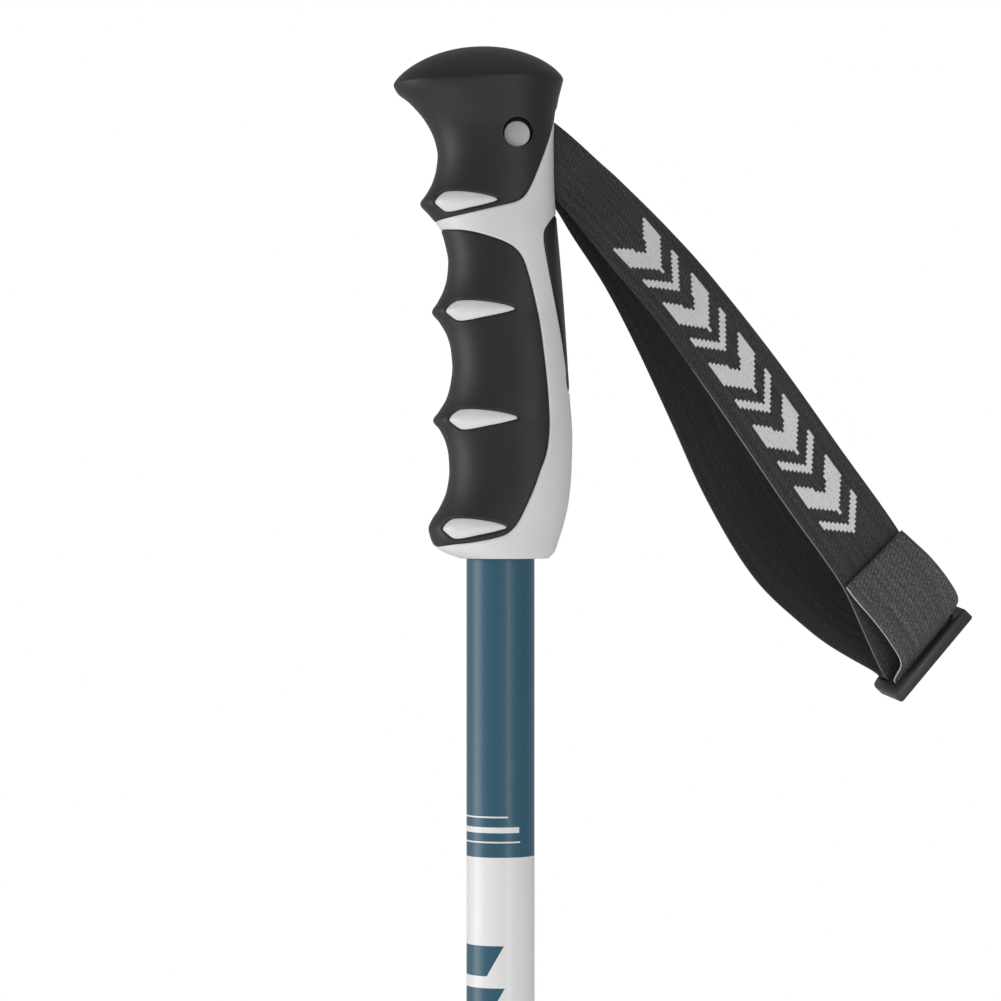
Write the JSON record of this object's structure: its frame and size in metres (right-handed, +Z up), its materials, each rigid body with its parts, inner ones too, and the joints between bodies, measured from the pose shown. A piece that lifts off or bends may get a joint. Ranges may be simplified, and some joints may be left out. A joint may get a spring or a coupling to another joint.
{
  "type": "ski pole",
  "caption": "Alpine ski pole with a two-colour moulded grip, an adjustable woven wrist strap with a slide buckle, a tapered shaft, and a basket above a steel tip.",
  "frame": {"origin": "middle of the steel tip's flat end face, on the shaft's axis", "axes": "+Z up the shaft towards the grip, -X towards the fingers' side of the grip, +X towards the side where the strap leaves, -Y towards the pin's head"},
  "size_m": [0.1556, 0.062, 1.2001],
  "materials": {
    "white_core_plastic": "satin moulded hard plastic",
    "black_soft_grip": "fine-grained soft-touch elastomer",
    "black_hard_plastic": "satin moulded plastic",
    "grey_pin_plastic": "satin moulded plastic",
    "black_webbing": "plain-woven synthetic webbing",
    "painted_aluminium": "gloss paint over drawn aluminium tube",
    "hardened_steel": "ground hardened steel",
    "basket_elastomer": "moulded flexible plastic"
  },
  "bodies": {
    "pole": {"grip_core": "white_core_plastic", "grip_head_overmould": "black_soft_grip", "grip_finger_overmould": "black_soft_grip", "grip_rear_pad": "black_soft_grip", "strap_pin": "grey_pin_plastic", "strap_pin_cap": "grey_pin_plastic", "shaft_tube": "painted_aluminium", "tip_ferrule": "black_hard_plastic", "tip_spike": "hardened_steel", "basket_retainer": "hardened_steel"},
    "strap": {"strap_tongue": "black_webbing", "strap_front_run": "black_webbing", "strap_back_run": "black_webbing", "strap_front_lead": "black_webbing", "strap_back_lead": "black_webbing"},
    "buckle": {"buckle_frame": "black_hard_plastic", "strap_tail": "black_webbing", "strap_anchor_loop": "black_webbing"},
    "basket": {"basket_hub": "black_hard_plastic", "basket_disc": "basket_elastomer"}
  },
  "joints": [
    {"name": "strap_swing", "type": "hinge", "parent": "pole", "child": "strap", "pos_m": [0.0044, 0, 1.1769], "axis": [0, -1, 0], "range_deg": [0, 45]},
    {"name": "buckle_slide", "type": "slide", "parent": "strap", "child": "buckle", "axis": [-0.5727, -0.2351, 0.7853], "range_m": [0, 0.012], "deforming": ["strap_front_lead", "strap_back_lead"]},
    {"name": "basket_turn", "type": "hinge", "parent": "pole", "child": "basket", "pos_m": [0, 0, 0.066], "axis": [0, 0, 1], "continuous": true}
  ]
}
